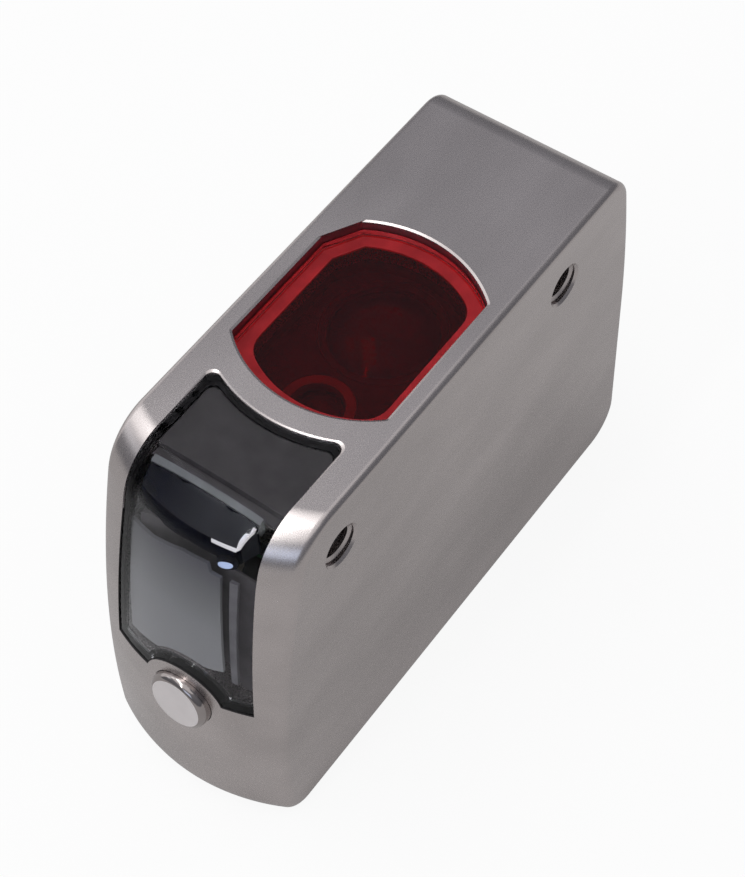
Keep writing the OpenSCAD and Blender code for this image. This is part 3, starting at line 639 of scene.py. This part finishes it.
seal = display_tool("window_bond_frame", -seat_gap)
carve(seal, body_form("seal_top", display_recess + display_window_t), "INTERSECT")
carve(seal, body_form("seal_floor", display_floor))
carve(seal, display_tool("seal_opening", -display_ledge))
black_rubber = plastic("black_rubber", (0.025, 0.023, 0.024), 0.6, gloss=0.2)
housing.data.materials.append(black_rubber)
bond_reach = 0.08 * mm
for face in housing.data.polygons:
    if abs(face.center.x) < display_foot_w / 2 + 2 * seat_gap and face.center.y < y_inner:
        nearest = window.closest_point_on_mesh(face.center)[1]
        if (nearest - face.center).length < bond_reach:
            face.material_index = 2
seal.data.materials.clear()
seal.data.materials.append(black_rubber)
finish_mesh(seal)
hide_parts("display_seal")
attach(seal, "sensor")


# Display stack: a grey panel film with a narrow strip beside it, a dark hood behind them
# and a moulded light guide over the indicator lamps. The guide's front is bowed. Its polished
# edge and the dome in its front glow, though they are no lamps: painted highlights.
inner_skin = display_floor + seat_gap
rise_way = Vector((0, sin(face_lean), cos(face_lean)))
film_gap = 0.1 * mm
film_t = 0.2 * mm
film_cut = 8 * mm
strip_left = 3.11 * mm
end_view = plane((0, y_end, 0), (1, 0, 0), (0, 0, 1))


def corners_of(*places):
    """Sharp corners of an outline, given in millimetres."""
    return [(u * mm, v * mm, 0, 0, 0, 0) for u, v in places]


def fade(nodes, links, axis, start, stop):
    """A share that grows from 0 to 1 along an axis of the piece."""
    parts = nodes.new("ShaderNodeSeparateXYZ")
    links.new(nodes.new("ShaderNodeTexCoord").outputs["Object"], parts.inputs["Vector"])
    share = nodes.new("ShaderNodeMapRange")
    share.inputs["From Min"].default_value = start
    share.inputs["From Max"].default_value = stop
    links.new(parts.outputs[axis], share.inputs["Value"])
    return share.outputs["Result"]


panel = prism("display_panel", end_view, corners_of(
    (-5.03, 24.4), (-4.88, 14.1), (3.1, 16.1), (2.49, 24.8), (1.75, 24.9), (1.5, 25.55),
    (-0.4, 25.45), (-3, 24.65),
), (0, film_cut, 0))
strip = prism("strip", end_view, corners_of(
    (3.12, 24.78), (3.68, 15.3), (4.1, 15.18), (3.66, 24.7),
), (0, film_cut, 0))
carve(panel, strip, "UNION")
carve(panel, body_form("film_front", inner_skin + film_gap), "INTERSECT")
carve(panel, body_form("film_back", inner_skin + film_gap + film_t))
carve(panel, display_tool("film_space", -display_ledge - seat_gap), "INTERSECT")
film, nodes, links, shader = new_material("diffuser_film")
# Painted shade: the film's colour darkens toward its top, under the light guide, and is painted
# lighter toward its foot to make up for the light that falls off there.
painted_shade_share = fade(nodes, links, "Z", 25.6 * mm, 14 * mm)
painted_shade_tones = (
    (0, (0.24, 0.24, 0.26)), (0.25, (0.46, 0.465, 0.46)), (0.5, (0.66, 0.665, 0.655)),
    (1, (0.8, 0.8, 0.79)),
)
links.new(ramp(nodes, links, painted_shade_share, painted_shade_tones), shader.inputs["Base Color"])
bump(nodes, links, noise(nodes, links, 3000, 2), 0.002 * mm, 0.2, shader)
shader.inputs["Roughness"].default_value = 0.5
panel.data.materials.clear()
panel.data.materials.append(film)
panel.data.materials.append(plastic("strip_film", (0.375, 0.365, 0.375), 0.5))
for face in panel.data.polygons:
    if face.center.x > strip_left:
        face.material_index = 1
finish_mesh(panel)
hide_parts("display_diffuser")
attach(panel, "sensor")

hood_front = 2.55 * mm
hood_back = 2.68 * mm
hood = prism(
    "display_hood", plane(button_place + button_in * hood_front, (1, 0, 0), rise_way),
    corners_of((-4.95, -0.8), (4.95, -0.8), (4.95, 13.3), (-4.95, 13.3)),
    button_in * (hood_back - hood_front),
)
carve(hood, drill("hood_space", (button_x, y_end, button_z), (0, 1, 0), 20 * mm, 2.7 * mm))
y_guide = hole_ys[0] - tube_r - 0.25 * mm
z_plate = z_hole + tube_r + seat_gap
lid = prism(
    "lid", plane((0, 0, z_plate), (1, 0, 0), (0, 1, 0)),
    display_outline(-display_ledge - seat_gap, y_guide + seat_gap, display_w / 2 - 0.35 * mm),
    (0, 0, body_h - z_plate),
)
carve(lid, body_form("lid_skin", inner_skin), "INTERSECT")
step_z = 28.4 * mm
step_w = 0.75 * mm
carve(lid, slab("lid_step", (-half_w, y_guide, step_z), (half_w, y_guide + step_w, body_h)))
carve(hood, lid, "UNION")
hood.data.materials.clear()
hood_plastic = plastic("hood_plastic", (0.2, 0.182, 0.188), 0.5, 0.002 * mm, 0.1)
hood.data.materials.append(hood_plastic)
hood.data.materials.append(plastic("lid_film", (0.155, 0.143, 0.14), 0.5))
for face in hood.data.polygons:
    if face.normal.z > 0.9 and face.center.z > step_z + 0.4 * mm:
        face.material_index = 1
finish_mesh(hood)
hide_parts("display_shroud")
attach(hood, "sensor")

guide_left = -4.64 * mm
guide_right = 3.97 * mm
guide_front = -18.7 * mm
y_ledge = y_guide - 0.44 * mm
guide = prism("light_guide_block", end_view, corners_of(
    (-4.64, 24.35), (-3, 24.55), (-0.4, 25.35), (5, 25.6), (5, 30), (-4.64, 30)
), (0, y_ledge - y_end, 0))
bow_centre = (0, guide_front + bow_r, body_h)
bow_post = drill("bow_post", bow_centre, (0, 0, 1), 20 * mm, bow_r, segments=256)
carve(guide, bow_post, "INTERSECT")
side_cut = prism(
    "side_cut", plane((guide_right, y_ledge, 20 * mm), (1, 0, 0), (0, 1, 0)),
    corners_of((0.41, 1), (-2.87, -7), (5, -7), (5, 1)), (0, 0, 12 * mm),
)
carve(guide, side_cut)
carve(guide, body_form("guide_skin", inner_skin), "INTERSECT")
ledge = slab("ledge", (guide_left, y_ledge, 27.5 * mm), (guide_right, y_guide, body_h))
carve(ledge, body_form("ledge_skin", inner_skin), "INTERSECT")
body_slot, painted_glow_slot, painted_highlight_slot, front_slot, dome_slot = range(5)
guide_round = 0.25 * mm
bm = bmesh.new()
bm.from_mesh(guide.data)
bmesh.ops.dissolve_limit(bm, angle_limit=radians(1), verts=bm.verts[:], edges=bm.edges[:])
for face in bm.faces:
    is_front = face.normal.y < -0.9 and abs(face.normal.z) < 0.05
    face.material_index = front_slot if is_front else body_slot
crisp = [e for e in bm.edges if len(e.link_faces) == 2 and e.calc_face_angle() > radians(20)]
rounded = bmesh.ops.bevel(
    bm, geom=crisp, offset=guide_round, segments=4, profile=0.5, affect="EDGES", material=-1
)["faces"]
# The rounded faces at the right of the guide's top front get the painted glow, a painted
# highlight; the other rounded faces stay dark.
for face in rounded:
    x, y, z = face.calc_center_median()
    painted_glow = x > 1.4 * mm and z > 26.8 * mm and y < y_ledge - guide_round - 0.01 * mm
    face.material_index = painted_glow_slot if painted_glow else front_slot
dome_turn = Matrix.Rotation(radians(-39), 4, "Y")
for radius, y, flat, slot in ((1.1, -18.55, 0.5, front_slot), (0.8, -18.72, 0.36, dome_slot)):
    place = Matrix.Translation(Vector((2.6, y, 25.8)) * mm)
    made = bmesh.ops.create_uvsphere(
        bm, u_segments=32, v_segments=16, radius=radius * mm,
        matrix=place @ dome_turn @ Matrix.Diagonal((1, 0.25, flat, 1)),
    )
    for face in {f for v in made["verts"] for f in v.link_faces}:
        face.material_index = slot
# The ledge along the guide's back is given a pale colour, a painted highlight for the light its
# edge catches.
before = len(bm.faces)
bm.from_mesh(ledge.data)
bm.faces.ensure_lookup_table()
for face in bm.faces[before:]:
    face.material_index = painted_highlight_slot
bpy.data.objects.remove(ledge)
moulding, nodes, links, shader = new_material("light_guide")
# Painted reflection: the guide's colour is painted lighter toward its right, for the reflection
# on its plateau, and darker toward its left end.
across = fade(nodes, links, "X", guide_left, 1 * mm)
painted_reflection_tones = ((0.25, (0.005, 0.007, 0.02)), (1, (0.08, 0.083, 0.092)))
links.new(ramp(nodes, links, across, painted_reflection_tones), shader.inputs["Base Color"])
shader.inputs["Roughness"].default_value = 0.15
shader.inputs["Specular IOR Level"].default_value = 0.3
painted_glow_edge, nodes, links, shader = new_material("guide_edge_painted_glow")
shader.inputs["Metallic"].default_value = 0.9
blue_greys = ((0.3, (0.8, 0.82, 0.88)), (0.7, (0.9, 0.92, 0.96)))
blue_grey = ramp(nodes, links, noise(nodes, links, 500, 2), blue_greys)
links.new(blue_grey, shader.inputs["Base Color"])
shader.inputs["Roughness"].default_value = 0.2
# Painted highlight: the edge glows, though it is no lamp.
shader.inputs["Emission Color"].default_value = (1, 0.97, 0.96, 1)
shader.inputs["Emission Strength"].default_value = 0.8
# Painted reflection: the dome glows bluish, though it is no lamp, for the bright spot it shows.
dome_painted_glow = plastic("dome_painted_glow", (0.3, 0.36, 0.5), 0.2)
shader = dome_painted_glow.node_tree.nodes["Principled BSDF"]
shader.inputs["Emission Color"].default_value = (0.55, 0.68, 1, 1)
shader.inputs["Emission Strength"].default_value = 1.1
guide.data.materials.clear()
for made in (
    moulding, painted_glow_edge, plastic("pale_ledge_painted_highlight", (0.42, 0.435, 0.44), 0.4),
    plastic("guide_front", (0.005, 0.006, 0.016), 0.6, gloss=0), dome_painted_glow,
):
    guide.data.materials.append(made)
bm.to_mesh(guide.data)
bm.free()
finish_mesh(guide, 40)
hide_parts("light_guide")
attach(guide, "sensor")

black_plastic = plastic("black_plastic", (0.014, 0.014, 0.016), 0.5, 0.002 * mm, 0.08)
for node in ("segment_display", "tact_switch"):
    dress(node, black_plastic)
dress("indicator_lamps", plastic("lamp_resin", (0.8, 0.74, 0.45), 0.2))
board_lacquer = plastic("board_lacquer", (0.02, 0.13, 0.05), 0.35)
dress("display_board", board_lacquer)


# Lens window: a plate of clear red plastic, sunk into the lens face. It is bonded on a
# ledge all round by a pale ring of cured adhesive.
red_plate = lens_plate("red_plate", -seat_gap, z_lens_back, body_h - lens_recess)
rounding = red_plate.modifiers.new("rounding", "BEVEL")
rounding.width = 0.12 * mm
rounding.segments = 3
rounding.limit_method = "ANGLE"
rounding.angle_limit = radians(50)
red_plate.data.materials.append(clear("red_window", (0.82, 0.045, 0.06), 1.49, gloss=0.35))
finish_mesh(red_plate, 40)
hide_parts("lens_window")
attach(red_plate, "sensor")
bond = lens_plate("bond_ring", -seat_gap, z_ledge, z_ledge + lens_seal_t)
carve(bond, lens_plate("bond_opening", -lens_ledge, z_ledge - spare, body_h, lens_inner_r))
bond.data.materials.clear()
bond.data.materials.append(plastic("window_bond", (0.62, 0.56, 0.52), 0.5))
finish_mesh(bond)
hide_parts("lens_seal")
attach(bond, "sensor")


# Optics: a black moulded frame that holds a lens for the returning light, and a second
# lens in a darkened brass sleeve with its laser diode. The image sensor behind them is
# on a small board, and the main board takes up the rest of the room.
for node in ("optical_frame", "lens_retainer"):
    dress(node, black_plastic)
glass_lens = clear("clear_lens", (0.16, 0.13, 0.15), 1.52, gloss=0.15)
for node in ("receiver_lens", "emitter_lens"):
    dress(node, glass_lens)
brass, nodes, links, shader = new_material("brass")
shader.inputs["Metallic"].default_value = 1
browns = ((0.3, (0.07, 0.05, 0.03)), (0.7, (0.1, 0.075, 0.04)))
brown = ramp(nodes, links, noise(nodes, links, 400, 3), browns)
links.new(brown, shader.inputs["Base Color"])
shader.inputs["Roughness"].default_value = 0.5
for node in ("laser_sleeve", "laser_diode"):
    dress(node, brass)
for node in ("imager_board", "main_board"):
    dress(node, board_lacquer)
chip_resin = plastic("chip_resin", (0.02, 0.02, 0.02), 0.5)
for node in ("image_sensor", "board_chips"):
    dress(node, chip_resin)
connector_plastic = plastic("connector_plastic", (0.7, 0.64, 0.54), 0.45)
for node in ("board_connector", "switch_plunger"):
    dress(node, connector_plastic)
dress("ribbon_cable", plastic("amber_film", (0.42, 0.2, 0.05), 0.3))
screw_steel = steel("screw_steel", (0.5, 0.5, 0.51), 0.3)
for node in ("frame_screws", "board_screws"):
    dress(node, screw_steel)


# Set button: a turned steel plug with a flat matte face and a polished cone, sprung out
# by the switch behind it. A rubber ring in its groove seals the bore.
button_face_r = 1.82 * mm
button_proud = 0.7 * mm
button_depth = 1.2 * mm
flank_r = button_r - button_face_r
bm = bmesh.new()
draw_arcs(bm, plane((0, 0, 0), (1, 0, 0), (0, 0, 1)), (
    (0, -button_proud, 0, 0, 0, 0),
    (button_face_r, flank_r - button_proud, flank_r, -72, 0, 12),
    (button_r, button_depth, 0, 0, 0, 0),
    (0, button_depth, 0, 0, 0, 0),
))
on_axis = [e for e in bm.edges if all(v.co.x < hair for v in e.verts)]
bmesh.ops.delete(bm, geom=on_axis, context="EDGES")
points, edges = bm.verts[:], bm.edges[:]
bmesh.ops.spin(
    bm, geom=points + edges, cent=(0, 0, 0), axis=(0, 0, 1), angle=2 * pi, steps=96,
    use_merge=True,
)
bmesh.ops.remove_doubles(bm, verts=bm.verts[:], dist=hair)
bmesh.ops.recalc_face_normals(bm, faces=bm.faces[:])
lie = Vector((0, 0, 1)).rotation_difference(button_in).to_matrix().to_4x4()
bmesh.ops.transform(bm, matrix=Matrix.Translation(button_place) @ lie, verts=bm.verts[:])
button = as_object(bm, "button_plug")
# The face's steel is painted much lighter, a painted sheen of the floor it faces, and the cone's
# much darker, a painted reflection of the dim room.
button.data.materials.append(steel("button_face_painted_sheen", (0.93, 0.88, 0.88), 0.4))
button.data.materials.append(steel("button_cone_painted_shade", (0.4, 0.36, 0.35), 0.12, 0.2))
for face in button.data.polygons:
    is_flat = abs(face.normal.dot(button_in)) > 0.995
    face.material_index = 0 if is_flat else 1
finish_mesh(button)
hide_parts("set_button")
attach(button, "button")
dress("button_ring", black_rubber)


# Cable gland: a turned and nickel plated brass gland with a hexagonal collar, drawn up
# against a rubber washer by a nut inside. A rubber sleeve in it grips the cable.
gland_steel = steel("gland_steel", (0.46, 0.46, 0.46), 0.25)
for node in ("cable_gland", "gland_nut"):
    dress(node, gland_steel)
for node in ("gland_washer", "cable_sleeve"):
    dress(node, black_rubber)


# Studio: a white floor and backdrop, two soft strip lamps overhead, a low bluish lamp
# before the display end and two weak ones at the left. Dim cards round the object stand
# for the dark room, and only its mirror-like faces see them.
def seen_share(nodes, links, direct, mirrored):
    """How much of a surface's own glow shows: to the camera and windows, and to mirrors."""
    path = nodes.new("ShaderNodeLightPath")
    shares = []
    for name, share in (
        ("Is Camera Ray", direct), ("Is Transmission Ray", direct), ("Is Glossy Ray", mirrored)
    ):
        part = nodes.new("ShaderNodeMath")
        part.operation = "MULTIPLY"
        part.inputs[1].default_value = share
        links.new(path.outputs[name], part.inputs[0])
        shares.append(part.outputs["Value"])
    while len(shares) > 1:
        either = nodes.new("ShaderNodeMath")
        either.operation = "MAXIMUM"
        links.new(shares.pop(), either.inputs[0])
        links.new(shares.pop(), either.inputs[1])
        shares.append(either.outputs["Value"])
    return shares[0]


bm = bmesh.new()
bmesh.ops.create_circle(bm, cap_ends=True, radius=3, segments=64)
floor = as_object(bm, "floor")
floor_paper, nodes, links, shader = new_material("floor_paper")
nodes.clear()
paper = nodes.new("ShaderNodeBsdfDiffuse")
paper.inputs["Color"].default_value = (0.8, 0.78, 0.77, 1)
glow = nodes.new("ShaderNodeEmission")
glow.inputs["Color"].default_value = (1, 1, 1, 1)
links.new(seen_share(nodes, links, 1, 0.35), glow.inputs["Strength"])
blend = nodes.new("ShaderNodeMixShader")
links.new(seen_share(nodes, links, 0.9, 0.6), blend.inputs["Fac"])
links.new(paper.outputs["BSDF"], blend.inputs[1])
links.new(glow.outputs["Emission"], blend.inputs[2])
out = nodes.new("ShaderNodeOutputMaterial")
links.new(blend.outputs["Shader"], out.inputs["Surface"])
floor.data.materials.append(floor_paper)

world = bpy.data.worlds.new("studio")
world.use_nodes = True
bpy.context.scene.world = world
nodes, links = world.node_tree.nodes, world.node_tree.links
nodes.clear()
ambient = nodes.new("ShaderNodeBackground")
ambient.inputs["Color"].default_value = (0.95, 0.97, 1, 1)
ambient.inputs["Strength"].default_value = 0.75
backdrop = nodes.new("ShaderNodeBackground")
backdrop.inputs["Color"].default_value = (0.98, 0.98, 1, 1)
backdrop.inputs["Strength"].default_value = 1
blend = nodes.new("ShaderNodeMixShader")
links.new(seen_share(nodes, links, 1, 1), blend.inputs["Fac"])
links.new(ambient.outputs["Background"], blend.inputs[1])
links.new(backdrop.outputs["Background"], blend.inputs[2])
out = nodes.new("ShaderNodeOutputWorld")
links.new(blend.outputs["Shader"], out.inputs["Surface"])


def softbox(name, azimuth, rise, distance, width, height, radiance, colour):
    """A soft lamp in a direction from the object, turned to face it."""
    data = bpy.data.lights.new(name, "AREA")
    data.shape = "RECTANGLE"
    data.size = width
    data.size_y = height
    data.energy = radiance * width * height * pi
    data.color = colour
    lamp = bpy.data.objects.new(name, data)
    a, e = radians(azimuth), radians(rise)
    aim = Vector((cos(a) * cos(e), sin(a) * cos(e), sin(e)))
    lamp.location = Vector((0, 0, body_h / 2)) + aim * distance
    lamp.rotation_euler = aim.to_track_quat("Z", "Y").to_euler()
    bpy.context.scene.collection.objects.link(lamp)


def ceiling_strip(name, start, stop, width, height, radiance):
    """A straight lamp overhead, from one point above the object to another."""
    start, stop = Vector(start), Vector(stop)
    data = bpy.data.lights.new(name, "AREA")
    data.shape = "RECTANGLE"
    data.size = (stop - start).length * height
    data.size_y = width * height
    data.energy = radiance * data.size * data.size_y * pi
    data.color = (0.97, 1, 1)
    lamp = bpy.data.objects.new(name, data)
    middle = (start + stop) / 2 * height
    lamp.location = (middle.x, middle.y, height)
    lamp.rotation_euler.z = atan2(stop.y - start.y, stop.x - start.x)
    bpy.context.scene.collection.objects.link(lamp)


ceiling_strip(
    "cross_strip", start=(-0.53, 0.18), stop=(-0.1, -0.33), width=0.27, height=0.8, radiance=3.5
)
ceiling_strip(
    "long_strip", start=(-0.13, -0.4), stop=(-0.12, -2.2), width=0.07, height=0.8, radiance=13
)
softbox(
    "left_box", azimuth=-176, rise=49, distance=0.7, width=0.2, height=0.16, radiance=0.95,
    colour=(0.97, 1, 1),
)
softbox(
    "low_strip", azimuth=-77, rise=25, distance=0.7, width=0.3, height=0.22, radiance=1.3,
    colour=(0.66, 0.78, 1),
)
softbox(
    "left_strip", azimuth=-158, rise=32, distance=0.7, width=0.25, height=0.15, radiance=0.65,
    colour=(0.9, 0.95, 1),
)


def dark_card(name, from_azimuth, to_azimuth, height, glow_low, glow_high, distance=1):
    """A dim curved card that only mirror-like faces see, darkest at its foot."""
    bm = bmesh.new()
    draw_arcs(bm, plane((0, 0, 0), (1, 0, 0), (0, 1, 0)), (
        (0, 0, distance, from_azimuth, to_azimuth, 32),
    ))
    chord = max(bm.edges, key=lambda e: e.calc_length())
    bmesh.ops.delete(bm, geom=[chord], context="EDGES")
    made = bmesh.ops.extrude_edge_only(bm, edges=bm.edges[:])["geom"]
    points = [g for g in made if isinstance(g, bmesh.types.BMVert)]
    bmesh.ops.translate(bm, verts=points, vec=(0, 0, height))
    card = as_object(bm, name)
    made, nodes, links, shader = new_material(name)
    nodes.remove(shader)
    place = nodes.new("ShaderNodeTexCoord")
    parts = nodes.new("ShaderNodeSeparateXYZ")
    rise = nodes.new("ShaderNodeMapRange")
    rise.inputs["From Max"].default_value = height
    rise.inputs["To Min"].default_value = glow_low
    rise.inputs["To Max"].default_value = glow_high
    glow = nodes.new("ShaderNodeEmission")
    glow.inputs["Color"].default_value = (0.88, 0.91, 1, 1)
    links.new(place.outputs["Object"], parts.inputs["Vector"])
    links.new(parts.outputs["Z"], rise.inputs["Value"])
    links.new(rise.outputs["Result"], glow.inputs["Strength"])
    links.new(glow.outputs["Emission"], nodes["Material Output"].inputs["Surface"])
    card.data.materials.append(made)
    card.visible_camera = card.visible_diffuse = card.visible_transmission = False
    card.visible_shadow = card.visible_volume_scatter = False


dark_card("side_card", 0, 92, height=1.9, glow_low=0.2, glow_high=0.28)
dark_card("back_card", 92, 150, height=1.9, glow_low=0.2, glow_high=0.48)
dark_card("front_card", -160, 0, height=1.1, glow_low=0.2, glow_high=0.35)
